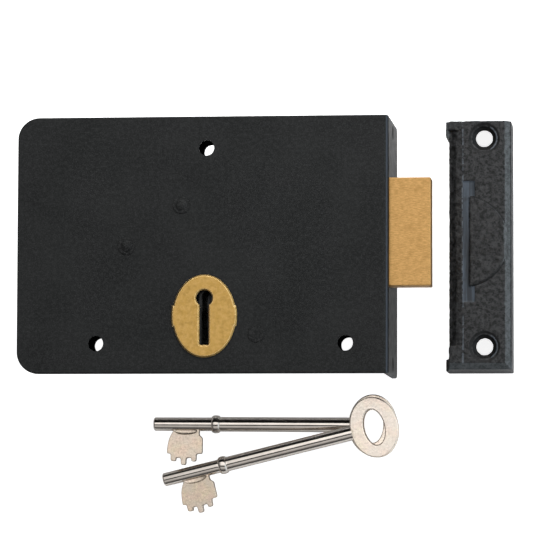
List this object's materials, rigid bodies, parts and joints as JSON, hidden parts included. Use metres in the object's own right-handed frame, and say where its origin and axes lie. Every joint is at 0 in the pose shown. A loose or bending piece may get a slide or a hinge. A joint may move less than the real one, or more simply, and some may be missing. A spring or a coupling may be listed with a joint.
{
  "type": "rim box lock",
  "caption": "Rim deadlock in a flat black box case with a folded lip, thrown brass bolt, oval keyhole plate, levers inside, box staple and two keys.",
  "frame": {"origin": "on the face of the door, midway between the two lower fixing holes of the case", "axes": "+Z out of the door's face, +X towards the lip and the bolt's end, +Y up the door"},
  "size_m": [0.2023, 0.1628, 0.0512],
  "materials": {
    "case_black": "satin black enamel on sheet steel",
    "cap_steel": "black enamel, plainer than the face",
    "post_black": "steel, its riveted end enamelled with the face",
    "screw_steel": "plain bright steel",
    "plate_brass": "lacquered sheet brass with a fine grain",
    "bolt_brass": "satin brass, brushed lengthwise",
    "lever_brass": "stamped brass",
    "tail_steel": "plain steel plate",
    "spring_steel": "blued spring steel",
    "staple_iron": "sand-cast iron under black paint",
    "key_nickel": "nickel plate, polished shank and grained bow"
  },
  "bodies": {
    "case": {"case_plate": "case_black", "case_rim": "case_black", "cap": "cap_steel", "cap_screws": "screw_steel", "escutcheon": "plate_brass", "lever_pivot_post": "post_black", "bolt_guide_post": "post_black", "cap_pillar": "post_black", "lever_washers": "screw_steel"},
    "bolt": {"bolt_head": "bolt_brass", "bolt_tail": "tail_steel", "bolt_stump": "tail_steel", "bolt_rivets": "bolt_brass"},
    "lever_1": {"lever_1": "lever_brass", "lever_spring_1": "spring_steel"},
    "lever_2": {"lever_2": "lever_brass", "lever_spring_2": "spring_steel"},
    "lever_3": {"lever_3": "lever_brass", "lever_spring_3": "spring_steel"},
    "staple": {"staple": "staple_iron"},
    "key_1": {"key_1": "key_nickel"},
    "key_2": {"key_2": "key_nickel"}
  },
  "joints": [
    {"name": "bolt_slide", "type": "slide", "parent": "case", "child": "bolt", "axis": [1, 0, 0], "range_m": [-0.016, 0]},
    {"name": "lever_1_drop", "type": "hinge", "parent": "case", "child": "lever_1", "pos_m": [-0.0387, 0.04, 0.0122], "axis": [0, 0, 1], "range_deg": [-6.5, 0]},
    {"name": "lever_2_drop", "type": "hinge", "parent": "case", "child": "lever_2", "pos_m": [-0.0387, 0.04, 0.0145], "axis": [0, 0, 1], "range_deg": [-9.2, 0]},
    {"name": "lever_3_drop", "type": "hinge", "parent": "case", "child": "lever_3", "pos_m": [-0.0387, 0.04, 0.0168], "axis": [0, 0, 1], "range_deg": [-3.5, 0]},
    {"name": "staple_lift", "type": "slide", "parent": "case", "child": "staple", "axis": [0, 0, 1], "range_m": [0, 0.03]},
    {"name": "key_1_lift", "type": "slide", "parent": "case", "child": "key_1", "axis": [0, 0, 1], "range_m": [0, 0.06]},
    {"name": "key_2_lift", "type": "slide", "parent": "key_1", "child": "key_2", "axis": [0, 0, 1], "range_m": [0, 0.06]}
  ]
}
